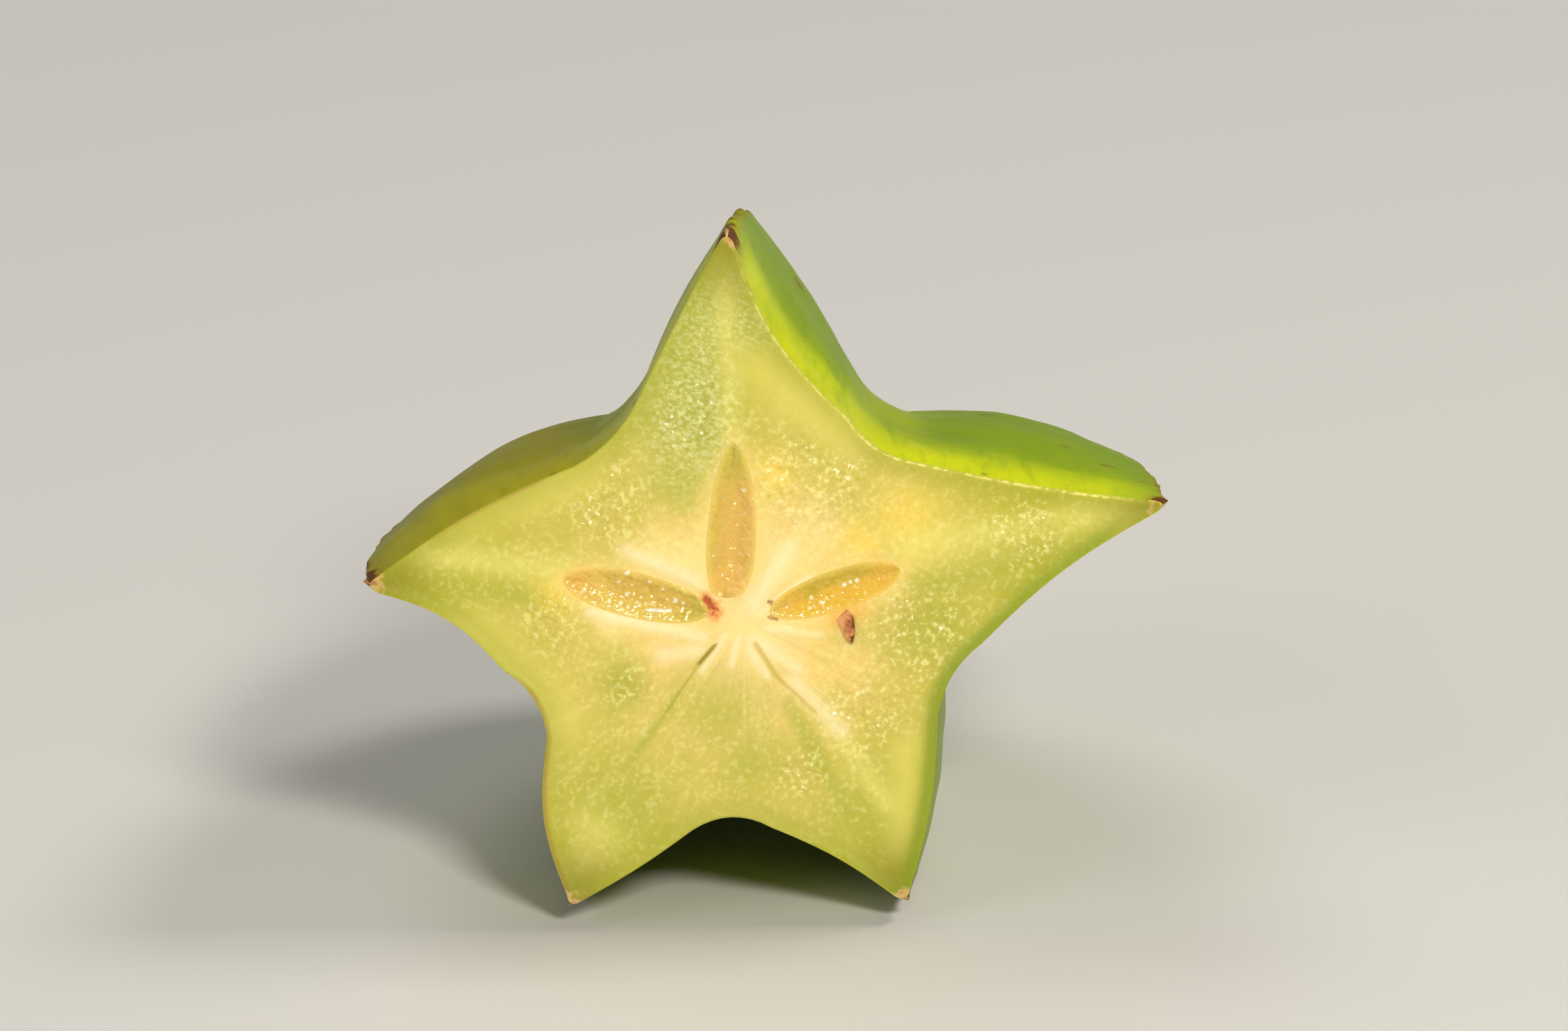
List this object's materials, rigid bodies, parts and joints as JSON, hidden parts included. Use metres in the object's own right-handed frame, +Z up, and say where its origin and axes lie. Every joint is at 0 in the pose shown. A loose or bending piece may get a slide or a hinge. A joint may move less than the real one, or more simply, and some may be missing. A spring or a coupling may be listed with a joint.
{
  "type": "star fruit half",
  "caption": "Cut half of a star fruit lying on two of its ridges, with the star-shaped cut face upright and seeds set in its core.",
  "frame": {"origin": "on the surface the half rests on, below the middle of its box", "axes": "+Z up, +Y from the cut star back along the body to the blossom end, +X to the right when facing the cut"},
  "size_m": [0.0588, 0.062, 0.051],
  "materials": {
    "fruit": "waxy green-yellow skin with a pale, wet, translucent cut face",
    "seed_jelly": "wet, translucent amber jelly round a flat seed",
    "seed_coat": "brown seed coat"
  },
  "bodies": {
    "root": {"star_fruit": "fruit", "seed_upper": "seed_jelly", "seed_right": "seed_jelly", "seed_left": "seed_jelly", "seed_chip": "seed_coat"}
  },
  "joints": []
}
